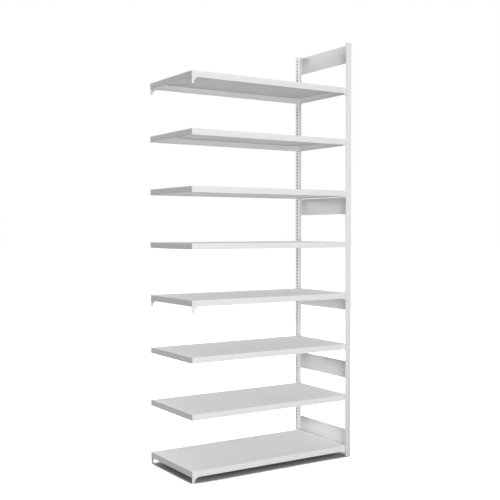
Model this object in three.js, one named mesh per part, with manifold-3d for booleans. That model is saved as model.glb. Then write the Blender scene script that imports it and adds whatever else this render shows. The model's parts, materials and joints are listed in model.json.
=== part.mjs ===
// Add-on bay of double sided library shelving: one slotted end frame and open tray shelves.
// Millimetres, +Z up, +X towards the end frame, +Y from the front face to the back face.
import * as THREE from "three";
import { mergeVertices } from "three/addons/utils/BufferGeometryUtils.js";
import Module from "manifold-3d";

const wasm = await Module();
wasm.setup();

// Shelves.
const SHELF_LENGTH = 1045;
const SHELF_DEPTH = 488.6;
const SHELF_EDGE = 33;
const SHELF_SHEET = 1.2;
const SHELF_BEND = 2;
const LIP_WIDTH = 10;
const LONG_LIP_SETBACK = 45;
const END_LIP_SETBACK = 24;

// What carries each shelf, from the top shelf down.
const FIXINGS = ["bracket", "clip", "clip", "clip", "bracket", "clip", "clip", "bracket"];

// Slot lattice of the uprights.
const SLOT_PITCH = 20;
const PITCHES_PER_LEVEL = 15;
const SLOT_COUNT = 120;
const SLOT_WIDTH = 7;
const SLOT_HEIGHT = 8.5;
const SLOT_CORNER = 0.8;
const SLOT_CORNER_STEPS = 1;
const SLOT_FROM_EDGE = 8;

// Uprights: a flat hollow flange outside the shelf edge, with a fin that runs in past the shelf end.
const FLANGE_WIDTH = 36;
const FLANGE_DEPTH = 8;
const FLANGE_OVERHANG = 9.6;
const FIN_SHEET = 2.4;
const FIN_REACH = 17.4;
const FIN_CORNER = 0.8;
const TUBE_WALL = 1.5;
const TUBE_CORNER = 1.5;
const TOP_MARGIN = 20;
const SHELF_END_GAP = 1;
const SHELF_SIDE_GAP = 1.6;

// Caps and feet.
const CAP_HEIGHT = 5;
const CAP_BEVEL = 0.6;
const CAP_BEVEL_STEPS = 2;
const FOOT_HEIGHT = 3;
const SPIGOT_GAP = 0.3;

// Cross plates, folded as shallow pans: one under the top, then the middles of the others in slot pitches.
const PLATE_HEIGHT = 100;
const PLATE_SHEET = 1.5;
const PLATE_INSET = 0.6;
const PLATE_END_GAP = 0.5;
const PLATE_TOP_GAP = 2;
const PLATE_LEVELS = [74, 45.75, 25.5, 5.25];

// Corner brackets of the stiffened shelves.
const BRACKET_SHEET = 2;
const BRACKET_REACH = 40;
const BRACKET_DROP = 33;
const TAB_WIDTH = 14;
const GUSSET_DROP = 21;
const GUSSET_SAG = 2.5;
const BRACKET_GAP = 0.3;

// Hooks and shelf clips.
const HOOK_WIDTH = 5.6;
const HOOK_HEIGHT = 6.4;
const HOOK_SHEET = 1.5;
const HOOK_BITE = 5;
const HOOK_GAP = 0.3;
const CLIP_SHEET = 1;
const CLIP_WIDTH = 24;
const CLIP_TOP_GAP = 2;
const LEDGE_SHEET = 1.4;
const LEDGE_REACH = 20;

// Finishes.
const COAT = { color: 0xe4e4e2, roughness: 0.45, metalness: 0 };
const PLASTIC = { color: 0xd9d9d7, roughness: 0.6, metalness: 0 };
const ZINC = { color: 0xb9bcbf, roughness: 0.4, metalness: 0.9 };

const CORNER_STEPS = 3;
const CURVE_STEPS = 5;
const MERGE = 1e-4;
const OVERLAP = 0.5;
const SIDES = [
  { name: "front", sign: -1 },
  { name: "back", sign: 1 },
];
const ENDS = [
  { name: "left", sign: -1, hooked: false },
  { name: "right", sign: 1, hooked: true },
];

// Places that follow from the sizes, with the origin under the middle of the whole bay.
const totalLength = SHELF_LENGTH + SHELF_END_GAP + FIN_SHEET + FLANGE_OVERHANG;
const shelfLeft = -totalLength / 2;
const shelfRight = shelfLeft + SHELF_LENGTH;
const finLeft = shelfRight + SHELF_END_GAP;
const finRight = finLeft + FIN_SHEET;
const tubeRight = finRight + FLANGE_OVERHANG;
const flangeLeft = tubeRight - FLANGE_WIDTH;
const slotX = flangeLeft + SLOT_FROM_EDGE;
const halfDepth = SHELF_DEPTH / 2;
const flangeInner = halfDepth + SHELF_SIDE_GAP;
const flangeOuter = flangeInner + FLANGE_DEPTH;
const finTip = flangeInner - FIN_REACH;
const levelPitch = SLOT_PITCH * PITCHES_PER_LEVEL;
const lowestEdge = BRACKET_DROP;
const tubeTop = SLOT_COUNT * SLOT_PITCH + TOP_MARGIN;
const hookBottom = SLOT_PITCH - SLOT_HEIGHT / 2 + HOOK_GAP - HOOK_BITE;
const spigotLength = hookBottom - FOOT_HEIGHT - SPIGOT_GAP;
const topPlate = tubeTop - PLATE_TOP_GAP - PLATE_HEIGHT / 2;
const plateMiddles = [topPlate, ...PLATE_LEVELS.map((level) => level * SLOT_PITCH)];

// Height of a shelf's lower edge; shelf 1 is the top one.
function edgeHeight(shelf) {
  return lowestEdge + (FIXINGS.length - shelf) * levelPitch;
}

// Height of the first slot centre at or above a height.
function slotAbove(height) {
  return Math.ceil(height / SLOT_PITCH) * SLOT_PITCH;
}

// A three.js geometry as a solid for joining and cutting.
function solid(geometry) {
  const bare = geometry.clone();
  bare.deleteAttribute("normal");
  bare.deleteAttribute("uv");
  const merged = mergeVertices(bare, MERGE);
  const vertProperties = merged.attributes.position.array;
  const triVerts = new Uint32Array(merged.index.array);
  return new wasm.Manifold(new wasm.Mesh({ numProp: 3, vertProperties, triVerts }));
}

// A rectangular block between pairs of limits, given in either order.
function block(x, y, z) {
  const size = [x, y, z].map(([a, b]) => Math.abs(b - a));
  const middle = [x, y, z].map(([a, b]) => (a + b) / 2);
  return solid(new THREE.BoxGeometry(...size).translate(...middle));
}

function shapeOf(points) {
  return new THREE.Shape(points.map(([a, b]) => new THREE.Vector2(a, b)));
}

// A prism along Z from an outline in X and Y.
function prismZ(points, low, high) {
  const options = { depth: high - low, bevelEnabled: false };
  return solid(new THREE.ExtrudeGeometry(shapeOf(points), options).translate(0, 0, low));
}

// A prism along Y from an outline in X and Z.
function prismY(points, low, high) {
  const options = { depth: high - low, bevelEnabled: false };
  const geometry = new THREE.ExtrudeGeometry(shapeOf(points), options);
  return solid(geometry.rotateX(Math.PI / 2).translate(0, high, 0));
}

// A prism along X from an outline in Y and Z.
function prismX(points, low, high) {
  const options = { depth: high - low, bevelEnabled: false };
  const turn = new THREE.Matrix4().makeBasis(
    new THREE.Vector3(0, 1, 0),
    new THREE.Vector3(0, 0, 1),
    new THREE.Vector3(1, 0, 0),
  );
  const geometry = new THREE.ExtrudeGeometry(shapeOf(points), options);
  return solid(geometry.applyMatrix4(turn).translate(low, 0, 0));
}

// An outline of square corners, each rounded to its own radius; a radius of 0 leaves it sharp.
function rounded(points, radii, steps = CORNER_STEPS) {
  return points.flatMap((point, index) => {
    const radius = radii[index];
    if (radius === 0) return [point];
    const neighbours = [points.at(index - 1), points[(index + 1) % points.length]];
    const [before, after] = neighbours.map((other) => {
      const step = [other[0] - point[0], other[1] - point[1]];
      return step.map((value) => value / Math.hypot(...step));
    });
    const arc = [];
    for (let step = 0; step <= steps; step += 1) {
      const angle = (Math.PI / 2) * (step / steps);
      const reach = [1 - Math.sin(angle), 1 - Math.cos(angle)].map((share) => share * radius);
      arc.push([0, 1].map((axis) => point[axis] + before[axis] * reach[0] + after[axis] * reach[1]));
    }
    return arc;
  });
}

// The outer skin of an upright: the flange with its fin.
function uprightSkin(sign) {
  const corners = [
    [flangeLeft, flangeOuter, TUBE_CORNER],
    [tubeRight, flangeOuter, TUBE_CORNER],
    [tubeRight, flangeInner, TUBE_CORNER],
    [finRight, flangeInner, 0],
    [finRight, finTip, FIN_CORNER],
    [finLeft, finTip, FIN_CORNER],
    [finLeft, flangeInner, 0],
    [flangeLeft, flangeInner, TUBE_CORNER],
  ];
  return rounded(corners.map(([x, y]) => [x, sign * y]), corners.map((corner) => corner[2]));
}

// The hollow of the flange, drawn in by an inset from the outer faces.
function flangeHollow(sign, inset, low, high) {
  const across = [flangeLeft + inset, tubeRight - inset];
  const through = [sign * (flangeInner + inset), sign * (flangeOuter - inset)];
  return block(across, through, [low, high]);
}

// One slot cutter through the inner wall of the flange, with its corners cut off.
function slotCutter(sign, height) {
  const [left, right] = [slotX - SLOT_WIDTH / 2, slotX + SLOT_WIDTH / 2];
  const [low, high] = [height - SLOT_HEIGHT / 2, height + SLOT_HEIGHT / 2];
  const corners = [[left, low], [right, low], [right, high], [left, high]];
  const outline = rounded(corners, corners.map(() => SLOT_CORNER), SLOT_CORNER_STEPS);
  const limits = [flangeInner - OVERLAP, flangeInner + TUBE_WALL + OVERLAP].map((y) => sign * y);
  return prismY(outline, Math.min(...limits), Math.max(...limits));
}

function upright(sign) {
  let cutters = slotCutter(sign, SLOT_PITCH);
  for (let index = 2; index <= SLOT_COUNT; index += 1) {
    cutters = cutters.add(slotCutter(sign, index * SLOT_PITCH));
  }
  const bar = prismZ(uprightSkin(sign), FOOT_HEIGHT, tubeTop);
  const core = flangeHollow(sign, TUBE_WALL, FOOT_HEIGHT - OVERLAP, tubeTop + OVERLAP);
  return bar.subtract(core).subtract(cutters);
}

function spigot(sign, low, high) {
  return flangeHollow(sign, TUBE_WALL + SPIGOT_GAP, low, high);
}

function topCap(sign) {
  const options = {
    depth: CAP_HEIGHT - 2 * CAP_BEVEL,
    bevelThickness: CAP_BEVEL,
    bevelSize: CAP_BEVEL,
    bevelOffset: -CAP_BEVEL,
    bevelSegments: CAP_BEVEL_STEPS,
  };
  const lid = new THREE.ExtrudeGeometry(shapeOf(uprightSkin(sign)), options);
  const raised = solid(lid.translate(0, 0, tubeTop + CAP_BEVEL));
  return raised.add(spigot(sign, tubeTop - spigotLength, tubeTop + CAP_BEVEL));
}

function footPlug(sign) {
  const pad = prismZ(uprightSkin(sign), 0, FOOT_HEIGHT);
  return pad.add(spigot(sign, FOOT_HEIGHT - OVERLAP, FOOT_HEIGHT + spigotLength));
}

// A shallow pan, open towards the outer end, that laps the fins of both uprights.
function crossPlate(middle) {
  const right = tubeRight - PLATE_INSET;
  const half = flangeInner - PLATE_END_GAP;
  const bottom = middle - PLATE_HEIGHT / 2;
  const top = bottom + PLATE_HEIGHT;
  const pan = block([finRight, right], [-half, half], [bottom, top]);
  const hollow = block(
    [finRight + PLATE_SHEET, right + OVERLAP],
    [-half + PLATE_SHEET, half - PLATE_SHEET],
    [bottom + PLATE_SHEET, top - PLATE_SHEET],
  );
  return pan.subtract(hollow);
}

// A block with its upper edges rounded along all four sides.
function roundedTop(inset, low, high, radius) {
  const acrossX = [shelfLeft + inset, shelfRight - inset];
  const acrossY = [-halfDepth + inset, halfDepth - inset];
  const radii = [0, 0, radius, radius];
  const outline = ([a, b]) => rounded([[a, low], [b, low], [b, high], [a, high]], radii);
  return prismX(outline(acrossY), ...acrossX).intersect(prismY(outline(acrossX), ...acrossY));
}

// A tray shelf: sheet folded down on four sides, with return lips along the lower edges.
function shelf(edge) {
  const top = edge + SHELF_EDGE;
  const outer = roundedTop(0, edge, top, SHELF_BEND);
  const hollow = roundedTop(
    SHELF_SHEET,
    edge - OVERLAP,
    top - SHELF_SHEET,
    SHELF_BEND - SHELF_SHEET,
  );
  let tray = outer.subtract(hollow);
  const lipHeight = [edge, edge + SHELF_SHEET];
  const lipBand = (wall) => [wall - OVERLAP, wall - LIP_WIDTH];
  for (const { sign } of SIDES) {
    const alongX = [shelfLeft + LONG_LIP_SETBACK, shelfRight - LONG_LIP_SETBACK];
    const acrossY = lipBand(halfDepth).map((y) => sign * y);
    tray = tray.add(block(alongX, acrossY, lipHeight));
  }
  const alongY = [-halfDepth + END_LIP_SETBACK, halfDepth - END_LIP_SETBACK];
  const leftLip = [shelfLeft + OVERLAP, shelfLeft + LIP_WIDTH];
  tray = tray.add(block(leftLip, alongY, lipHeight));
  return tray.add(block(lipBand(shelfRight), alongY, lipHeight));
}

// A tongue through one slot with a nose that drops behind the flange's inner wall.
function hook(sign, height, root) {
  const across = [slotX - HOOK_WIDTH / 2, slotX + HOOK_WIDTH / 2];
  const low = height - SLOT_HEIGHT / 2 + HOOK_GAP;
  const behind = flangeInner + TUBE_WALL + HOOK_GAP;
  const nose = behind + HOOK_SHEET;
  const tongue = block(across, [sign * root, sign * nose], [low, low + HOOK_HEIGHT]);
  const drop = [low - HOOK_BITE, low + HOOK_HEIGHT];
  return tongue.add(block(across, [sign * behind, sign * nose], drop));
}

// Corner bracket: a gusset plate inside the long edge with a tab below it, hooked at the frame's end.
function bracket(edge, sign, end) {
  const corner = end.sign > 0 ? shelfRight : shelfLeft;
  const place = (inward, rise) => [corner - end.sign * inward, edge + rise];
  const inside = SHELF_SHEET + BRACKET_GAP;
  const top = SHELF_EDGE - SHELF_BEND - BRACKET_GAP;
  const outline = [
    place(0, -BRACKET_GAP),
    place(0, -BRACKET_DROP),
    place(TAB_WIDTH, -BRACKET_DROP),
  ];
  for (let step = 0; step <= CURVE_STEPS; step += 1) {
    const along = step / CURVE_STEPS;
    const sag = GUSSET_SAG * Math.sin(Math.PI * along);
    const inward = TAB_WIDTH + (BRACKET_REACH - TAB_WIDTH) * along - sag;
    outline.push(place(inward, GUSSET_DROP * (along - 1) + sag));
  }
  outline.push(place(BRACKET_REACH, top), place(inside, top), place(inside, -BRACKET_GAP));
  const outerFace = halfDepth - SHELF_SHEET;
  const faces = [outerFace, outerFace - BRACKET_SHEET].map((y) => sign * y);
  const plate = prismY(outline, Math.min(...faces), Math.max(...faces));
  if (!end.hooked) return plate;
  const hookHeight = slotAbove(edge - BRACKET_DROP + SLOT_HEIGHT);
  return plate.add(hook(sign, hookHeight, outerFace - BRACKET_SHEET / 2));
}

// Shelf clip: a strap between flange and shelf edge, two hooks, and a ledge under the shelf's corner.
function clip(edge, sign) {
  const across = [slotX - CLIP_WIDTH / 2, slotX + CLIP_WIDTH / 2];
  const inner = halfDepth + HOOK_GAP;
  const outer = inner + CLIP_SHEET;
  const strapTop = edge + SHELF_EDGE - CLIP_TOP_GAP;
  const strap = block(across, [sign * inner, sign * outer], [edge - LEDGE_SHEET, strapTop]);
  const ledgeY = [sign * outer, sign * (outer - LEDGE_REACH)];
  let piece = strap.add(block(across, ledgeY, [edge - LEDGE_SHEET, edge]));
  const first = slotAbove(edge);
  for (const height of [first, first + SLOT_PITCH]) {
    piece = piece.add(hook(sign, height, outer - CLIP_SHEET / 2));
  }
  return piece;
}

const bay = new THREE.Group();
bay.name = "library_shelving_bay";

function addPiece(name, piece, finish) {
  const { vertProperties, triVerts } = piece.getMesh();
  const geometry = new THREE.BufferGeometry();
  geometry.setAttribute("position", new THREE.Float32BufferAttribute(vertProperties, 3));
  geometry.setIndex(Array.from(triVerts));
  const flat = geometry.toNonIndexed();
  flat.computeVertexNormals();
  const mesh = new THREE.Mesh(flat, new THREE.MeshStandardMaterial(finish));
  mesh.name = name;
  bay.add(mesh);
}

for (const { name, sign } of SIDES) {
  addPiece(`upright_${name}`, upright(sign), COAT);
  addPiece(`top_cap_${name}`, topCap(sign), PLASTIC);
  addPiece(`foot_plug_${name}`, footPlug(sign), PLASTIC);
}

plateMiddles.forEach((middle, index) => {
  addPiece(`cross_plate_${index + 1}`, crossPlate(middle), COAT);
});

FIXINGS.forEach((fixing, index) => {
  const number = index + 1;
  const edge = edgeHeight(number);
  addPiece(`shelf_${number}`, shelf(edge), COAT);
  for (const { name, sign } of SIDES) {
    if (fixing === "bracket") {
      for (const end of ENDS) {
        addPiece(`bracket_${number}_${name}_${end.name}`, bracket(edge, sign, end), COAT);
      }
    } else {
      addPiece(`clip_${number}_${name}`, clip(edge, sign), ZINC);
    }
  }
});

export default bay;
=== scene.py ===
"""Double sided library shelving bay: folded, powder-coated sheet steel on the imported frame."""
import json
import math

import bmesh
import bpy
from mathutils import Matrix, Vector

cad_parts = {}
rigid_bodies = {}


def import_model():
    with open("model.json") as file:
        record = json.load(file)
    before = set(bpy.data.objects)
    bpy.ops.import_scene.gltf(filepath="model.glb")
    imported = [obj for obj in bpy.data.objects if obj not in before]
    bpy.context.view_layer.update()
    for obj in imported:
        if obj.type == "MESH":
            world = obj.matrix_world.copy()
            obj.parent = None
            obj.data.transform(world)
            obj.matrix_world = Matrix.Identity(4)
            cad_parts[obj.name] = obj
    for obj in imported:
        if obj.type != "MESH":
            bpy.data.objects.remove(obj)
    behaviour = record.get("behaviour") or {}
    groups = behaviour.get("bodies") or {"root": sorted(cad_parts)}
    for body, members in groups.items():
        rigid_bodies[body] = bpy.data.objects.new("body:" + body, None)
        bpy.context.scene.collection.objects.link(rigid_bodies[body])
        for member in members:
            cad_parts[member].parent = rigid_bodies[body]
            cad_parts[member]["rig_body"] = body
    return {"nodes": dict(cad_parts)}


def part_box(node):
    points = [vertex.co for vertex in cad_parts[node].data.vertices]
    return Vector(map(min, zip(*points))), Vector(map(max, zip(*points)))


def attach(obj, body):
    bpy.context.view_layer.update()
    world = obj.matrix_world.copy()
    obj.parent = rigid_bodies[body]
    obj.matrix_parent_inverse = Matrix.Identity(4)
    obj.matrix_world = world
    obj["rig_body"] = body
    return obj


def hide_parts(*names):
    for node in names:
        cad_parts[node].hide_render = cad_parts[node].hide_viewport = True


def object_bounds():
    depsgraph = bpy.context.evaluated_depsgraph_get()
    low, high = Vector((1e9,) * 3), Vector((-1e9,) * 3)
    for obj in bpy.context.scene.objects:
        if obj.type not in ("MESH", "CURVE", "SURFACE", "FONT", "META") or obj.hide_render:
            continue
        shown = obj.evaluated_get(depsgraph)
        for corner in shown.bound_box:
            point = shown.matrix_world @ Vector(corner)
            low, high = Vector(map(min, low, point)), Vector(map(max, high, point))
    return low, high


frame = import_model()
CAD_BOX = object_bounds()

bl_info = {
    "name": "Library shelving bay",
    "version": (1, 0, 0),
    "blender": (4, 5, 0),
    "location": "View3D > Sidebar > Shelving",
    "description": "Folded steel shelves, slotted end frame, fittings and studio for a bay",
    "category": "Object",
}

FLOOR_HALF = 60.0
SENSOR = 36.0
CLIP_END = 200.0
MERGE = 1e-6
SLACK = 1e-5
# Depth from the free end within which faces get the painted end shade.
END_DEPTH = 0.003
FOLD_SEGMENTS = 5
SHARP_ANGLE = math.radians(40)
PLATED_SHARE = 0.6
DUST = (0.70, 0.69, 0.67, 1.0)
WHITE = (1.0, 1.0, 1.0, 1.0)


class ShelvingSizes(bpy.types.PropertyGroup):
    """Sheet metal sizes that a maker would change."""

    sheet: bpy.props.FloatProperty(
        name="Shelf sheet", description="Thickness of the shelf sheet",
        default=0.0012, unit="LENGTH")
    bend: bpy.props.FloatProperty(
        name="Bend radius", description="Outer radius of the folds along the shelf top",
        default=0.002, unit="LENGTH")
    lip: bpy.props.FloatProperty(
        name="Return lip", description="Width of the lip folded in below each shelf edge",
        default=0.010, unit="LENGTH")
    long_setback: bpy.props.FloatProperty(
        name="Long lip setback", description="Distance from a corner to the end of a long lip",
        default=0.045, unit="LENGTH")
    end_setback: bpy.props.FloatProperty(
        name="End lip setback", description="Distance from a corner to the end of a short lip",
        default=0.024, unit="LENGTH")
    softness: bpy.props.FloatProperty(
        name="Edge softness", description="Radius that the coating leaves on cut edges",
        default=0.00035, unit="LENGTH")
    flange: bpy.props.FloatProperty(
        name="Flange depth", description="Depth of the hollow flange of an upright",
        default=0.008, unit="LENGTH")
    wall: bpy.props.FloatProperty(
        name="Flange wall", description="Wall thickness of that flange",
        default=0.0015, unit="LENGTH")


class ShelvingFinish(bpy.types.PropertyGroup):
    """Colours and gloss of the coated and plated surfaces."""

    coat: bpy.props.FloatVectorProperty(
        name="Coat", description="Powder coat on shelves, frame and brackets",
        default=(0.90, 0.90, 0.895), subtype="COLOR", min=0, max=1)
    coat_roughness: bpy.props.FloatProperty(
        name="Coat roughness", description="Mean roughness of the powder coat",
        default=0.6, min=0, max=1, subtype="FACTOR")
    # Painted shade: lightness of the darker coat given to surfaces that face down, standing in for
    # the shade under the shelves.
    underside_shade: bpy.props.FloatProperty(
        name="Thin coat", description="Lightness of the thinner coat on what faces down",
        default=0.72, min=0, max=1, subtype="FACTOR")
    # Painted shade: lightness of the darker coat on the outer faces of the free end, standing in for
    # the shade on those faces.
    free_end_shade: bpy.props.FloatProperty(
        name="Free end", description="Lightness of the coat where the next bay's frame covers it",
        default=0.64, min=0, max=1, subtype="FACTOR")
    zinc: bpy.props.FloatVectorProperty(
        name="Zinc", description="Zinc plate on the shelf clips",
        default=(0.66, 0.67, 0.68), subtype="COLOR", min=0, max=1)
    # Partly real primer, partly painted shade: very dark so that the slots look shaded inside the
    # hollow flange.
    primer_and_slot_shade: bpy.props.FloatVectorProperty(
        name="Primer", description="Dark primer inside the uprights, seen through the slots",
        default=(0.10, 0.10, 0.10), subtype="COLOR", min=0, max=1)
    cap: bpy.props.FloatVectorProperty(
        name="Caps", description="Moulded caps on the uprights",
        default=(0.79, 0.79, 0.78), subtype="COLOR", min=0, max=1)
    foot: bpy.props.FloatVectorProperty(
        name="Feet", description="Moulded plugs under the uprights",
        default=(0.42, 0.42, 0.415), subtype="COLOR", min=0, max=1)


class ShelvingStage(bpy.types.PropertyGroup):
    """Camera and studio light."""

    lens: bpy.props.FloatProperty(
        name="Lens", description="Focal length on a 36 mm sensor",
        default=61.77, subtype="DISTANCE_CAMERA")
    place: bpy.props.FloatVectorProperty(
        name="Camera place", description="Where the camera stands",
        default=(-2.6923, -4.1739, 1.3294), subtype="TRANSLATION")
    heading: bpy.props.FloatProperty(
        name="Heading", description="Turn of the camera to the right of straight ahead",
        default=math.radians(32.70), subtype="ANGLE")
    pitch: bpy.props.FloatProperty(
        name="Pitch", description="Tilt of the camera above level",
        default=math.radians(-1.263), subtype="ANGLE")
    ambient: bpy.props.FloatProperty(
        name="Ambient", description="Brightness of the even white room light",
        default=0.41, min=0)
    front_power: bpy.props.FloatProperty(
        name="Front light", description="Power of the low soft box in front of the bay",
        default=136.0, subtype="POWER")
    back_power: bpy.props.FloatProperty(
        name="Back light", description="Power of the soft box behind the bay",
        default=195.0, subtype="POWER")
    high_power: bpy.props.FloatProperty(
        name="High light", description="Power of the high soft box in front of the bay",
        default=100.0, subtype="POWER")
    left_power: bpy.props.FloatProperty(
        name="Left light", description="Power of the soft box beyond the free end",
        default=60.0, subtype="POWER")
    front_place: bpy.props.FloatVectorProperty(
        name="Front light place", description="Where the low front light stands",
        default=(-1.5, -6.0, 0.8), subtype="TRANSLATION")
    back_place: bpy.props.FloatVectorProperty(
        name="Back light place", description="Where the back light stands",
        default=(-0.55, 6.0, 3.0), subtype="TRANSLATION")
    high_place: bpy.props.FloatVectorProperty(
        name="High light place", description="Where the high front light hangs",
        default=(-1.0, -6.0, 3.6), subtype="TRANSLATION")
    left_place: bpy.props.FloatVectorProperty(
        name="Left light place", description="Where the light beyond the free end stands",
        default=(-6.0, 0.0, 0.6), subtype="TRANSLATION")
    front_aim: bpy.props.FloatVectorProperty(
        name="Front light aim", description="The point that the low front light faces",
        default=(0.1, 0.0, 1.2), subtype="TRANSLATION")
    back_aim: bpy.props.FloatVectorProperty(
        name="Back light aim", description="The point that the back light faces",
        default=(0.2, 0.0, 1.3), subtype="TRANSLATION")
    high_aim: bpy.props.FloatVectorProperty(
        name="High light aim", description="The point that the high front light faces",
        default=(0.1, 0.0, 1.0), subtype="TRANSLATION")
    left_aim: bpy.props.FloatVectorProperty(
        name="Left light aim", description="The point that the light beyond the free end faces",
        default=(0.4, 0.0, 1.2), subtype="TRANSLATION")
    box_width: bpy.props.FloatProperty(
        name="Light width", description="Width of each square soft box",
        default=2.0, unit="LENGTH")
    bounce: bpy.props.FloatProperty(
        name="Floor bounce", description="Share of the light that the floor throws back up",
        default=0.2, min=0, max=1, subtype="FACTOR")
    floor_gain: bpy.props.FloatProperty(
        name="Floor gain", description="How bright the camera sees the lit floor",
        default=3.0, min=0)
    shade_reach: bpy.props.FloatProperty(
        name="Shade reach", description="How far above the floor a piece still shades it",
        default=0.25, unit="LENGTH")
    shade_open: bpy.props.FloatVectorProperty(
        name="Shade limits", description="Open shares of the sky at full shade and at none",
        default=(0.54, 0.66), size=2, min=0, max=1)
    contact: bpy.props.FloatProperty(
        name="Contact shade", description="Share of that brightness close under the lowest shelf",
        default=0.19, min=0, max=1, subtype="FACTOR")


class Signal:
    """A shader value that Python arithmetic turns into Math nodes."""

    def __init__(self, finish, socket):
        self.finish = finish
        self.socket = socket

    def _math(self, operation, first, second):
        return self.finish.signal("ShaderNodeMath", {"operation": operation}, {0: first, 1: second})

    def __add__(self, other):
        return self._math("ADD", self, other)

    def __rsub__(self, other):
        return self._math("SUBTRACT", other, self)

    def __mul__(self, other):
        return self._math("MULTIPLY", self, other)

    def __pow__(self, other):
        return self._math("POWER", self, other)

    def at_least(self, other):
        return self._math("MAXIMUM", self, other)

    def below(self, other):
        return self._math("LESS_THAN", self, other)


class Finish:
    """One material or world tree, and the method that makes its nodes."""

    def __init__(self, owner):
        owner.use_nodes = True
        self.owner = owner
        self.tree = owner.node_tree
        self.tree.nodes.clear()

    def node(self, kind, settings=None, inputs=None):
        made = self.tree.nodes.new(kind)
        for key, value in (settings or {}).items():
            if key == "stops":
                ramp = made.color_ramp
                for element, (position, colour) in zip(ramp.elements, value):
                    element.position = position
                    element.color = colour
            else:
                setattr(made, key, value)
        for key, value in (inputs or {}).items():
            if isinstance(value, Signal):
                self.tree.links.new(value.socket, made.inputs[key])
            else:
                made.inputs[key].default_value = value
        return made

    def signal(self, kind, settings=None, inputs=None, output=0):
        return Signal(self, self.node(kind, settings, inputs).outputs[output])

    def noise(self, place, scale, detail=2.0, roughness=0.5):
        inputs = {"Vector": place, "Scale": scale, "Detail": detail, "Roughness": roughness}
        return self.signal("ShaderNodeTexNoise", {"noise_dimensions": "3D"}, inputs)

    def axis(self, vector, name):
        return self.signal("ShaderNodeSeparateXYZ", None, {"Vector": vector}, name)

    def bump(self, height, strength, distance):
        inputs = {"Strength": strength, "Distance": distance, "Height": height}
        return self.signal("ShaderNodeBump", None, inputs)

    def blend(self, factor, first, second):
        made = self.node("ShaderNodeMix", {"data_type": "RGBA"}, {"Factor": factor})
        for name, value in (("A", first), ("B", second)):
            socket = [s for s in made.inputs if s.name == name and s.type == "RGBA"][0]
            if isinstance(value, Signal):
                self.tree.links.new(value.socket, socket)
            else:
                socket.default_value = value
        out = [s for s in made.outputs if s.type == "RGBA"][0]
        return Signal(self, out)

    def surface(self, shader):
        is_world = isinstance(self.owner, bpy.types.World)
        kind = "ShaderNodeOutputWorld" if is_world else "ShaderNodeOutputMaterial"
        self.node(kind, None, {"Surface": shader})


def tone(colour, gain):
    """A colour made a little lighter or darker, with alpha."""
    return tuple(min(1.0, channel * gain) for channel in colour) + (1.0,)


def new_finish(name):
    return Finish(bpy.data.materials.new(name))


def coat_material(finish):
    """Satin powder coat: fine orange peel, clouds, dust on top, painted shade darkening what faces
    down and the outer faces of the free end.
    """
    made = new_finish("powder_coat")
    place = made.signal("ShaderNodeTexCoord", output="Object")
    clouds = made.noise(place, scale=2.4, detail=3.0)
    smears = made.noise(place, scale=17.0, detail=4.0, roughness=0.62)
    peel = made.noise(place, scale=620.0, detail=2.0, roughness=0.45)
    grit = made.noise(place, scale=2400.0, detail=1.0)
    facing = made.signal("ShaderNodeNewGeometry", output="Normal")
    tilt = made.axis(facing, "Z")
    turn = made.axis(facing, "X")
    along = made.axis(place, "X")
    up = tilt.at_least(0.0)
    # Painted shade: faces that turn down are blended towards the darker underside tone.
    down = (0.0 - tilt).at_least(0.0)
    # Painted shade: outer faces at the free end that face -X, within END_DEPTH of the bay's left end,
    # are darkened.
    end_shade_mask = (0.0 - turn).at_least(0.0) * along.below(CAD_BOX[0][0] + END_DEPTH)
    dust = up ** 4.0 * (smears * 0.6 + clouds * 0.4)
    shades = tone(finish.coat, 0.975), tone(finish.coat, 1.025)
    mottled = made.blend(clouds * 0.7 + grit * 0.3, *shades)
    underside_shaded = made.blend(down ** 2.0, mottled, tone(finish.coat, finish.underside_shade))
    end_shaded = made.blend(end_shade_mask, underside_shaded, tone(finish.coat, finish.free_end_shade))
    dusted = made.blend(dust * 0.10, end_shaded, DUST)
    rough = dust * 0.10 + smears * 0.12 + (finish.coat_roughness - 0.06)
    normal = made.bump(peel * 0.8 + grit * 0.2, strength=0.22, distance=0.00012)
    shader = made.signal("ShaderNodeBsdfPrincipled", None, {
        "Base Color": dusted, "Roughness": rough, "Normal": normal, "IOR": 1.48})
    made.surface(shader)
    return made.owner


def zinc_material(finish):
    """Bright zinc plate with small crystal patches and rolling streaks."""
    made = new_finish("zinc_plate")
    place = made.signal("ShaderNodeTexCoord", output="Object")
    crystals = {"Vector": place, "Scale": 260.0}
    spangle = made.signal("ShaderNodeTexVoronoi", {"feature": "F1"}, crystals, "Color")
    patch = made.signal("ShaderNodeSeparateColor", None, {"Color": spangle}, "Red")
    streak = made.noise(place, scale=900.0, detail=3.0, roughness=0.6)
    colour = made.blend(patch * 0.7 + streak * 0.3, tone(finish.zinc, 0.9), tone(finish.zinc, 1.08))
    rough = patch * 0.14 + streak * 0.1 + 0.24
    normal = made.bump(streak, strength=0.15, distance=0.00005)
    shader = made.signal("ShaderNodeBsdfPrincipled", None, {
        "Base Color": colour, "Roughness": rough, "Metallic": 1.0, "Normal": normal})
    made.surface(shader)
    return made.owner


def moulded_material(name, colour):
    """Matt moulding with a fine spark-eroded grain."""
    made = new_finish(name)
    place = made.signal("ShaderNodeTexCoord", output="Object")
    grain = made.noise(place, scale=1500.0, detail=3.0, roughness=0.6)
    cloud = made.noise(place, scale=30.0, detail=3.0)
    tint = made.blend(cloud * 0.6 + grain * 0.4, tone(colour, 0.95), tone(colour, 1.05))
    rough = grain * 0.12 + cloud * 0.08 + 0.5
    normal = made.bump(grain, strength=0.3, distance=0.0001)
    shader = made.signal("ShaderNodeBsdfPrincipled", None, {
        "Base Color": tint, "Roughness": rough, "Normal": normal})
    made.surface(shader)
    return made.owner


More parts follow.
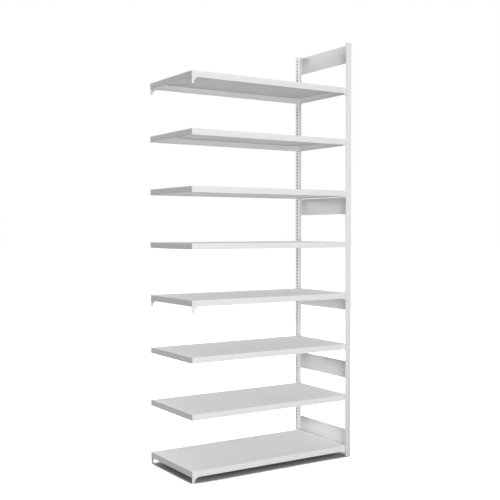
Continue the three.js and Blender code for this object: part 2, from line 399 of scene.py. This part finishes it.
def material(context, name):
    """The finish of that name, made on first use."""
    found = bpy.data.materials.get(name)
    if found:
        return found
    finish = context.scene.shelving_finish
    makers = {
        "powder_coat": lambda: coat_material(finish),
        "zinc_plate": lambda: zinc_material(finish),
        "cap_moulding": lambda: moulded_material("cap_moulding", finish.cap),
        "foot_moulding": lambda: moulded_material("foot_moulding", finish.foot),
        # Primer dark enough to paint the shade inside the uprights.
        "tube_primer": lambda: moulded_material("tube_primer", finish.primer_and_slot_shade),
    }
    return makers[name]()


def nodes_named(prefix):
    """CAD nodes whose names start with a prefix, in order."""
    names = sorted(name for name in frame["nodes"] if name.startswith(prefix))
    if not names:
        raise RuntimeError(f"the frame has no node that starts with {prefix}")
    return names


def body_of_node(name):
    return frame["nodes"][name]["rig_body"]


def piece_from(bm, name, finish, body):
    """A finished bmesh as an object that rides on a body."""
    mesh = bpy.data.meshes.new(name)
    bm.to_mesh(mesh)
    bm.free()
    for polygon in mesh.polygons:
        polygon.use_smooth = True
    piece = bpy.data.objects.new(name, mesh)
    bpy.context.scene.collection.objects.link(piece)
    mesh.materials.append(finish)
    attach(piece, body)
    return piece


def soften(piece, width, segments=2):
    """The small radius that paint or plating leaves on every sharp edge."""
    edge = piece.modifiers.new("coated_edges", "BEVEL")
    edge.width = width
    edge.segments = segments
    edge.limit_method = "ANGLE"
    edge.angle_limit = SHARP_ANGLE
    edge.harden_normals = True
    edge.use_clamp_overlap = True


def coated_copy(name, finish, width):
    """A copy of a CAD node with joined faces and softened edges, in the node's place."""
    source = frame["nodes"][name]
    bm = bmesh.new()
    bm.from_mesh(source.data)
    bmesh.ops.remove_doubles(bm, verts=bm.verts[:], dist=MERGE)
    piece = piece_from(bm, f"{name}_coated", finish, body_of_node(name))
    soften(piece, width)
    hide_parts(name)
    return piece


def folded_tray(low, high, sizes):
    """A sheet folded down on four sides, with return lips along its lower edges."""
    bm = bmesh.new()
    bmesh.ops.create_cube(bm, size=1.0)
    bmesh.ops.scale(bm, vec=high - low, verts=bm.verts[:])
    bmesh.ops.translate(bm, vec=(low + high) / 2, verts=bm.verts[:])
    under = [face for face in bm.faces if face.normal.z < -0.5]
    bmesh.ops.delete(bm, geom=under, context="FACES_ONLY")
    rim = [edge for edge in bm.edges if all(vert.co.z > high.z - SLACK for vert in edge.verts)]
    bmesh.ops.bevel(
        bm, geom=rim, offset=sizes.bend, offset_type="OFFSET", segments=FOLD_SEGMENTS, profile=0.5,
        affect="EDGES", material=-1)
    cuts = [(0, low.x + sizes.long_setback), (0, high.x - sizes.long_setback),
            (1, low.y + sizes.end_setback), (1, high.y - sizes.end_setback)]
    for axis, place in cuts:
        point = Vector((0, 0, 0))
        point[axis] = place
        normal = Vector((0, 0, 0))
        normal[axis] = 1
        whole = bm.verts[:] + bm.edges[:] + bm.faces[:]
        bmesh.ops.bisect_plane(bm, geom=whole, dist=MERGE, plane_co=point, plane_no=normal)
    lips = [(1, low.y, 0, sizes.long_setback, 1), (1, high.y, 0, sizes.long_setback, -1),
            (0, low.x, 1, sizes.end_setback, 1), (0, high.x, 1, sizes.end_setback, -1)]
    for across, wall, along, setback, inward in lips:
        first, last = low[along] + setback - SLACK, high[along] - setback + SLACK
        edges = [
            edge for edge in bm.edges
            if all(abs(vert.co.z - low.z) < MERGE and abs(vert.co[across] - wall) < MERGE
                   and first < vert.co[along] < last for vert in edge.verts)]
        if not edges:
            raise RuntimeError("a shelf edge has no place for its lip")
        grown = bmesh.ops.extrude_edge_only(bm, edges=edges)["geom"]
        step = Vector((0, 0, 0))
        step[across] = inward * sizes.lip
        bmesh.ops.translate(
            bm, vec=step, verts=[item for item in grown if isinstance(item, bmesh.types.BMVert)])
    return bm


class SHELVING_OT_shelves(bpy.types.Operator):
    """Fold a tray shelf in the place of each shelf solid"""

    bl_idname = "shelving.shelves"
    bl_label = "Folded shelves"

    def execute(self, context):
        sizes = context.scene.shelving_sizes
        coat = material(context, "powder_coat")
        for name in nodes_named("shelf_"):
            bm = folded_tray(*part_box(name), sizes)
            piece = piece_from(bm, f"{name}_tray", coat, body_of_node(name))
            gauge = piece.modifiers.new("sheet", "SOLIDIFY")
            gauge.thickness = sizes.sheet
            gauge.offset = -1
            gauge.use_even_offset = True
            gauge.use_quality_normals = True
            soften(piece, sizes.softness)
            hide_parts(name)
        return {"FINISHED"}


def shade_tube_inside(piece, name, sizes, primer_and_slot_shade):
    """Dark primer on the faces that line the hollow flange of an upright, made dark enough to paint
    the shade seen inside through the slots.
    """
    low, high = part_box(name)
    piece.data.materials.append(primer_and_slot_shade)
    depth = max(abs(low.y), abs(high.y))
    slack = sizes.wall / 4
    for polygon in piece.data.polygons:
        centre = polygon.center
        across = low.x + sizes.wall - slack < centre.x < high.x - sizes.wall + slack
        through = sizes.wall - slack < depth - abs(centre.y) < sizes.flange - sizes.wall + slack
        if across and through:
            polygon.material_index = 1


class SHELVING_OT_frame(bpy.types.Operator):
    """Coat the slotted uprights and the cross plates of the end frame"""

    bl_idname = "shelving.frame"
    bl_label = "End frame"

    def execute(self, context):
        sizes = context.scene.shelving_sizes
        coat = material(context, "powder_coat")
        for name in nodes_named("upright_"):
            piece = coated_copy(name, coat, sizes.softness)
            shade_tube_inside(piece, name, sizes, material(context, "tube_primer"))
        for name in nodes_named("cross_plate_"):
            coated_copy(name, coat, sizes.softness)
        return {"FINISHED"}


class SHELVING_OT_brackets(bpy.types.Operator):
    """Coat the corner brackets of the stiffened shelves"""

    bl_idname = "shelving.brackets"
    bl_label = "Corner brackets"

    def execute(self, context):
        sizes = context.scene.shelving_sizes
        coat = material(context, "powder_coat")
        for name in nodes_named("bracket_"):
            coated_copy(name, coat, sizes.softness)
        return {"FINISHED"}


class SHELVING_OT_clips(bpy.types.Operator):
    """Plate the hook-in clips that carry the plain shelves"""

    bl_idname = "shelving.clips"
    bl_label = "Shelf clips"

    def execute(self, context):
        sizes = context.scene.shelving_sizes
        zinc = material(context, "zinc_plate")
        for name in nodes_named("clip_"):
            coated_copy(name, zinc, sizes.softness * PLATED_SHARE)
        return {"FINISHED"}


class SHELVING_OT_mouldings(bpy.types.Operator):
    """Mould the caps and the foot plugs of the uprights"""

    bl_idname = "shelving.mouldings"
    bl_label = "Caps and feet"

    def execute(self, context):
        sizes = context.scene.shelving_sizes
        kinds = (
            ("top_cap_", "cap_moulding", "cap_plastic"),
            ("foot_plug_", "foot_moulding", "foot_plastic"),
        )
        for prefix, finish, slot in kinds:
            for name in nodes_named(prefix):
                coated_copy(name, material(context, finish), sizes.softness)
        return {"FINISHED"}


def seen_directly(made):
    """One where the camera, a mirror or glass looks straight at the surface."""
    path = made.node("ShaderNodeLightPath")
    rays = [Signal(made, path.outputs[name]) for name in (
        "Is Camera Ray", "Is Glossy Ray", "Is Transmission Ray")]
    return rays[0].at_least(rays[1]).at_least(rays[2])


class SHELVING_OT_stage(bpy.types.Operator):
    """Set the pale floor, the even room light, the four soft boxes and the camera"""

    bl_idname = "shelving.stage"
    bl_label = "Studio"

    def execute(self, context):
        stage = context.scene.shelving_stage
        self.lay_floor(stage)
        self.light_room(context.scene, stage)
        for name in ("front", "back", "high", "left"):
            self.hang_light(context.scene, stage, name)
        self.place_camera(context.scene, stage)
        context.scene.view_settings.view_transform = "Standard"
        return {"FINISHED"}

    def lay_floor(self, stage):
        bm = bmesh.new()
        bmesh.ops.create_grid(bm, x_segments=1, y_segments=1, size=FLOOR_HALF)
        mesh = bpy.data.meshes.new("studio_floor")
        bm.to_mesh(mesh)
        bm.free()
        floor = bpy.data.objects.new("studio_floor", mesh)
        bpy.context.scene.collection.objects.link(floor)
        made = new_finish("studio_floor")
        reach = {"Distance": stage.shade_reach}
        open_sky = made.signal("ShaderNodeAmbientOcclusion", {"samples": 16}, reach, "AO")
        contact = made.signal("ShaderNodeMapRange", {"interpolation_type": "SMOOTHSTEP"}, {
            "Value": open_sky, "From Min": stage.shade_open[0], "From Max": stage.shade_open[1],
            "To Min": stage.floor_gain * stage.contact, "To Max": stage.floor_gain})
        shown = made.signal("ShaderNodeBsdfDiffuse", None, {"Color": contact})
        plain = made.signal("ShaderNodeBsdfDiffuse", None, {"Color": (stage.bounce,) * 3 + (1.0,)})
        direct = seen_directly(made)
        made.surface(made.signal("ShaderNodeMixShader", None, {0: direct, 1: plain, 2: shown}))
        mesh.materials.append(made.owner)

    def light_room(self, scene, stage):
        world = bpy.data.worlds.new("studio_room")
        scene.world = world
        made = Finish(world)
        room, shown = (
            made.signal("ShaderNodeBackground", None, {"Color": WHITE, "Strength": strength})
            for strength in (stage.ambient, 1.0))
        direct = seen_directly(made)
        made.surface(made.signal("ShaderNodeMixShader", None, {0: direct, 1: room, 2: shown}))

    def hang_light(self, scene, stage, name):
        lamp = bpy.data.lights.new(f"{name}_light", "AREA")
        lamp.energy = getattr(stage, f"{name}_power")
        lamp.size = stage.box_width
        holder = bpy.data.objects.new(f"{name}_light", lamp)
        scene.collection.objects.link(holder)
        holder.location = getattr(stage, f"{name}_place")
        view = Vector(getattr(stage, f"{name}_aim")) - holder.location
        holder.rotation_euler = view.to_track_quat("-Z", "Y").to_euler()

    def place_camera(self, scene, stage):
        lens = bpy.data.cameras.new("photo_camera")
        lens.lens = stage.lens
        lens.sensor_width = SENSOR
        lens.clip_end = CLIP_END
        camera = bpy.data.objects.new("photo_camera", lens)
        scene.collection.objects.link(camera)
        camera.location = stage.place
        camera.rotation_euler = (math.pi / 2 + stage.pitch, 0.0, -stage.heading)
        scene.camera = camera


STEPS = (
    SHELVING_OT_stage,
    SHELVING_OT_shelves,
    SHELVING_OT_frame,
    SHELVING_OT_brackets,
    SHELVING_OT_clips,
    SHELVING_OT_mouldings,
)


class SHELVING_PT_panel(bpy.types.Panel):
    """The steps that dress the bay, in order"""

    bl_idname = "SHELVING_PT_panel"
    bl_label = "Library shelving"
    bl_space_type = "VIEW_3D"
    bl_region_type = "UI"
    bl_category = "Shelving"

    def draw(self, context):
        for step in STEPS:
            self.layout.operator(step.bl_idname)
        for group in ("shelving_sizes", "shelving_finish", "shelving_stage"):
            values = getattr(context.scene, group)
            for name in values.bl_rna.properties.keys():
                if name not in {"rna_type", "name"}:
                    self.layout.prop(values, name)


GROUPS = {
    "shelving_sizes": ShelvingSizes,
    "shelving_finish": ShelvingFinish,
    "shelving_stage": ShelvingStage,
}


def register():
    for item in (*GROUPS.values(), *STEPS, SHELVING_PT_panel):
        bpy.utils.register_class(item)
    for name, group in GROUPS.items():
        setattr(bpy.types.Scene, name, bpy.props.PointerProperty(type=group))


def unregister():
    for name in GROUPS:
        delattr(bpy.types.Scene, name)
    for item in (SHELVING_PT_panel, *reversed(STEPS), *GROUPS.values()):
        bpy.utils.unregister_class(item)


def main():
    register()
    for step in STEPS:
        group, name = step.bl_idname.split(".")
        getattr(getattr(bpy.ops, group), name)()


if __name__ == "__main__":
    main()
